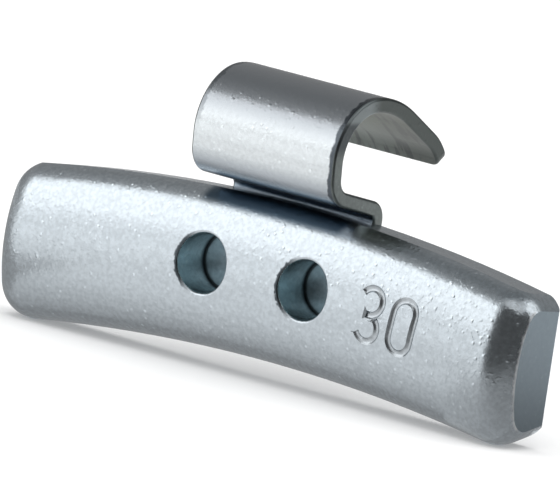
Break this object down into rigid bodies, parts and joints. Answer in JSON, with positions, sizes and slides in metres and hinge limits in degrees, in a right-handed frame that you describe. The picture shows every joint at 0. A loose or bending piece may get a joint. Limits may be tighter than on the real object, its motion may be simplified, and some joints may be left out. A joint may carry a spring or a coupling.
{
  "type": "wheel balance weight",
  "caption": "Clip-on balance weight: an arched, crowned steel bar with a bent spring-steel clip riveted to its back, which hooks over a wheel's rim flange.",
  "frame": {"origin": "seat of the rim flange: the centre of the hook's front bend, at mid-width", "axes": "+X along the rim, -Y outboard towards the weight's visible face, +Z away from the wheel's axle"},
  "size_m": [0.0514, 0.0147, 0.0241],
  "materials": {
    "plated_bar": "bright zinc plate over a pressed surface with a fine orange-peel grain",
    "plated_spring_steel": "bright zinc plate on bent spring strip"
  },
  "bodies": {
    "root": {"weight_body": "plated_bar", "spring_clip": "plated_spring_steel"}
  },
  "joints": []
}
